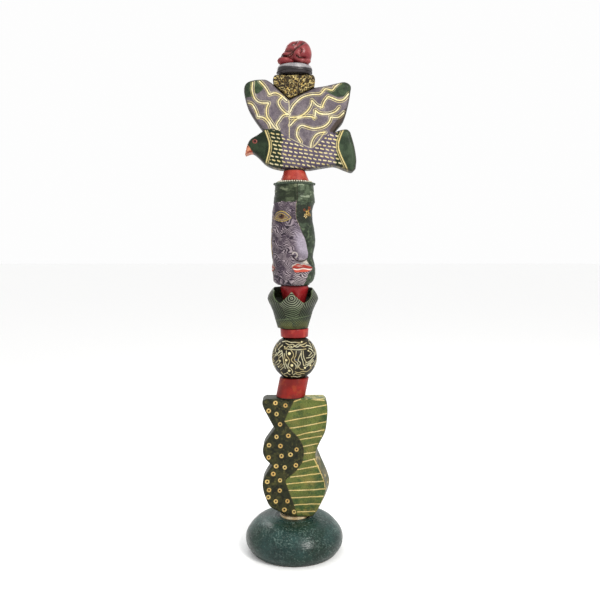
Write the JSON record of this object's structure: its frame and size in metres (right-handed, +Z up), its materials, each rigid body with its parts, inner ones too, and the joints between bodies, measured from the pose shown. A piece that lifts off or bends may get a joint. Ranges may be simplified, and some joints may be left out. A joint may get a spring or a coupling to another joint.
{
  "type": "ceramic garden totem",
  "caption": "Tall stacked totem of glazed and carved clay pieces on a hidden rod: dome base, wavy block, ball, petal cup, faced head, bird and crumpled finial.",
  "frame": {"origin": "on the floor under the rod, at the centre of the steel base plate's underside", "axes": "+Z up along the rod, -Y towards the front, +X to the viewer's right"},
  "size_m": [0.3155, 0.2744, 1.44],
  "materials": {
    "steel": "zinc plated, lightly brushed",
    "rubber": "matt black",
    "teal_glaze": "dark teal glaze, brushed texture, glossy",
    "cream_clay": "bare cream clay",
    "green_glaze": "two greens with cream stamps and stripes, satin",
    "red_glaze": "deep red, glossy",
    "carved_dark": "dark slip carved through to cream clay",
    "cup_green": "dark green, carved, satin",
    "head_glaze": "purple and green, incised, satin",
    "bird_glaze": "grey purple with cream lines, satin",
    "grey_glaze": "dark grey, satin",
    "rose_glaze": "rose red, glossy"
  },
  "bodies": {
    "foot": {"base_plate": "steel", "rod_socket": "steel", "set_screw": "steel", "flange_screw_1": "steel", "flange_screw_2": "steel", "flange_screw_3": "steel", "flange_screw_4": "steel", "centre_rod": "steel", "base_dome": "teal_glaze", "seat_disc": "cream_clay"},
    "lower_block": {"lower_block": "green_glaze"},
    "leaning_collar": {"leaning_collar": "red_glaze", "lean_washer": "rubber"},
    "ball": {"ball": "carved_dark"},
    "ring_collar": {"ring_collar": "red_glaze"},
    "petal_cup": {"petal_cup": "cup_green", "cup_washer": "rubber"},
    "tapered_collar": {"tapered_collar": "red_glaze", "neck_washer": "rubber"},
    "head": {"head": "head_glaze", "head_washer": "rubber"},
    "cone_collar": {"cone_collar": "red_glaze", "cone_washer": "rubber"},
    "bird": {"bird": "bird_glaze", "bird_washer": "rubber", "texture_wedge": "carved_dark"},
    "grey_ring": {"grey_ring": "grey_glaze", "ring_washer": "rubber"},
    "topknot": {"topknot": "rose_glaze"}
  },
  "joints": [
    {"name": "lower_block_spin", "type": "hinge", "parent": "foot", "child": "lower_block", "pos_m": [0, 0, 0.264], "axis": [0, 0, 1], "continuous": true},
    {"name": "leaning_collar_spin", "type": "hinge", "parent": "foot", "child": "leaning_collar", "pos_m": [0, 0, 0.459], "axis": [0, 0, 1], "continuous": true},
    {"name": "ball_spin", "type": "hinge", "parent": "foot", "child": "ball", "pos_m": [0, 0, 0.542], "axis": [0, 0, 1], "continuous": true},
    {"name": "ring_collar_spin", "type": "hinge", "parent": "foot", "child": "ring_collar", "pos_m": [0, 0, 0.611], "axis": [0, 0, 1], "continuous": true},
    {"name": "petal_cup_spin", "type": "hinge", "parent": "foot", "child": "petal_cup", "pos_m": [0, 0, 0.66], "axis": [0, 0, 1], "continuous": true},
    {"name": "tapered_collar_spin", "type": "hinge", "parent": "foot", "child": "tapered_collar", "pos_m": [0, 0, 0.69], "axis": [0, 0, 1], "continuous": true},
    {"name": "head_spin", "type": "hinge", "parent": "foot", "child": "head", "pos_m": [0, 0, 0.89], "axis": [0, 0, 1], "continuous": true},
    {"name": "cone_collar_spin", "type": "hinge", "parent": "foot", "child": "cone_collar", "pos_m": [0, 0, 1.05], "axis": [0, 0, 1], "continuous": true},
    {"name": "bird_spin", "type": "hinge", "parent": "foot", "child": "bird", "pos_m": [0, 0, 1.2], "axis": [0, 0, 1], "continuous": true},
    {"name": "grey_ring_spin", "type": "hinge", "parent": "foot", "child": "grey_ring", "pos_m": [0, 0, 1.356], "axis": [0, 0, 1], "continuous": true},
    {"name": "topknot_lift", "type": "slide", "parent": "foot", "child": "topknot", "axis": [0, 0, 1], "range_m": [0, 0.08]}
  ]
}
